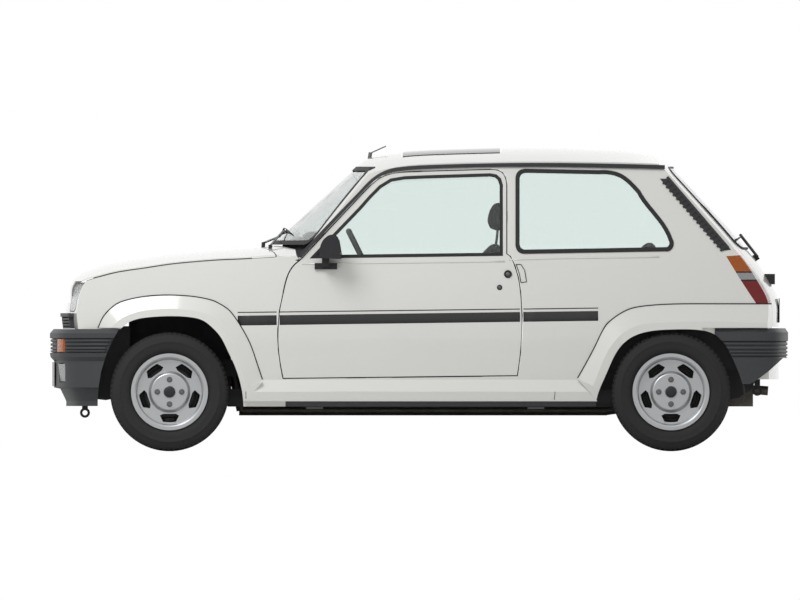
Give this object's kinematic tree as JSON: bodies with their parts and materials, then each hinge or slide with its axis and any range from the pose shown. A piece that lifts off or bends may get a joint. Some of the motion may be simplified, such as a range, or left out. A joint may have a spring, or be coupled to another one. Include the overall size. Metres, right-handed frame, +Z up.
{
  "type": "three-door hatchback car with wide wheel arches",
  "caption": "Small three-door hatchback with wide wheel arches, opening doors, bonnet, tailgate and sunroof, and steered, rolling wheels.",
  "frame": {"origin": "on the ground at mid length and mid width, between the wheels", "axes": "+X from the nose to the tail, +Y to the car's right side, +Z up"},
  "size_m": [3.5359, 1.81, 1.4647],
  "materials": {
    "white_paint": "gloss paint",
    "white_moulding": "painted in the body colour",
    "black_plastic": "moulded, lightly grained",
    "black_paint": "satin paint",
    "rubber": "moulded",
    "tyre": "moulded",
    "alloy": "painted and machined",
    "steel": "bare and dull",
    "iron": "cast",
    "clear_glass": "clear, slightly green",
    "lamp_glass": "fluted",
    "amber_lens": "moulded",
    "red_lens": "moulded",
    "seat_cloth": "woven",
    "dark_trim": "grained",
    "smoked_glass": "tinted"
  },
  "bodies": {
    "body": {"floor_pan": "white_paint", "chassis_members": "black_paint", "bulkhead": "white_paint", "wheelhouses": "black_paint", "body_side_left": "white_paint", "body_side_right": "white_paint", "roof": "white_paint", "front_wings": "white_paint", "nose_panel": "white_paint", "tail_panel": "white_paint", "grille": "black_plastic", "headlamps": "lamp_glass", "front_bumper": "black_plastic", "bumper_lamps": "amber_lens", "rear_bumper": "black_plastic", "arch_flares": "white_moulding", "sill_skirts": "white_moulding", "fixed_glass": "clear_glass", "window_seals": "rubber", "drip_rails": "black_paint", "tail_lamps": "red_lens", "pillar_vents": "black_plastic", "aerial": "steel", "wipers": "black_plastic", "dashboard": "dark_trim", "front_seats": "seat_cloth", "rear_bench": "seat_cloth", "steering_column": "dark_trim", "engine": "iron", "suspension": "black_paint", "exhaust": "steel", "fuel_tank": "black_paint"},
    "bonnet": {"bonnet": "white_paint"},
    "door_left": {"door_left": "white_paint", "door_glass_left": "clear_glass", "mirror_left": "black_plastic"},
    "door_right": {"door_right": "white_paint", "door_glass_right": "clear_glass", "mirror_right": "black_plastic"},
    "tailgate": {"tailgate": "white_paint", "tailgate_glass": "clear_glass", "tailgate_fittings": "black_plastic"},
    "sunroof": {"sunroof": "smoked_glass"},
    "knuckle_left": {"knuckle_left": "iron"},
    "knuckle_right": {"knuckle_right": "iron"},
    "steering_wheel": {"steering_wheel": "dark_trim"},
    "wheel_front_left": {"rim_front_left": "alloy", "tyre_front_left": "tyre"},
    "wheel_front_right": {"rim_front_right": "alloy", "tyre_front_right": "tyre"},
    "wheel_rear_left": {"rim_rear_left": "alloy", "tyre_rear_left": "tyre"},
    "wheel_rear_right": {"rim_rear_right": "alloy", "tyre_rear_right": "tyre"}
  },
  "joints": [
    {"name": "bonnet", "type": "hinge", "parent": "body", "child": "bonnet", "pos_m": [-1.691, 0, 0.72], "axis": [0, -1, 0], "range_deg": [0, 60]},
    {"name": "door_left", "type": "hinge", "parent": "body", "child": "door_left", "pos_m": [-0.6745, -0.7625, 0.6], "axis": [0, 0, -1], "range_deg": [0, 68]},
    {"name": "door_right", "type": "hinge", "parent": "body", "child": "door_right", "pos_m": [-0.6745, 0.7625, 0.6], "axis": [0, 0, 1], "range_deg": [0, 68]},
    {"name": "tailgate", "type": "hinge", "parent": "body", "child": "tailgate", "pos_m": [1.156, 0, 1.408], "axis": [0, -1, 0], "range_deg": [0, 80]},
    {"name": "sunroof", "type": "hinge", "parent": "body", "child": "sunroof", "pos_m": [-0.078, 0, 1.436], "axis": [0, -1, 0], "range_deg": [0, 8]},
    {"name": "steering", "type": "hinge", "parent": "body", "child": "steering_wheel", "pos_m": [-0.258, -0.33, 0.897], "axis": [0.8944, 0, 0.4472], "range_deg": [-510, 510]},
    {"name": "steer_left", "type": "hinge", "parent": "body", "child": "knuckle_left", "pos_m": [-1.195, -0.65, 0.285], "axis": [0, 0, 1], "range_deg": [-34, 34]},
    {"name": "steer_right", "type": "hinge", "parent": "body", "child": "knuckle_right", "pos_m": [-1.195, 0.65, 0.285], "axis": [0, 0, 1], "range_deg": [-34, 34]},
    {"name": "wheel_front_left", "type": "hinge", "parent": "knuckle_left", "child": "wheel_front_left", "pos_m": [-1.195, -0.686, 0.285], "axis": [0, 1, 0], "continuous": true},
    {"name": "wheel_front_right", "type": "hinge", "parent": "knuckle_right", "child": "wheel_front_right", "pos_m": [-1.195, 0.686, 0.285], "axis": [0, 1, 0], "continuous": true},
    {"name": "wheel_rear_left", "type": "hinge", "parent": "body", "child": "wheel_rear_left", "pos_m": [1.207, -0.686, 0.285], "axis": [0, 1, 0], "continuous": true},
    {"name": "wheel_rear_right", "type": "hinge", "parent": "body", "child": "wheel_rear_right", "pos_m": [1.207, 0.686, 0.285], "axis": [0, 1, 0], "continuous": true}
  ],
  "couplings": [
    {"joint": "steer_left", "follows": "steering", "ratio": 0.066667},
    {"joint": "steer_right", "follows": "steering", "ratio": 0.066667}
  ]
}
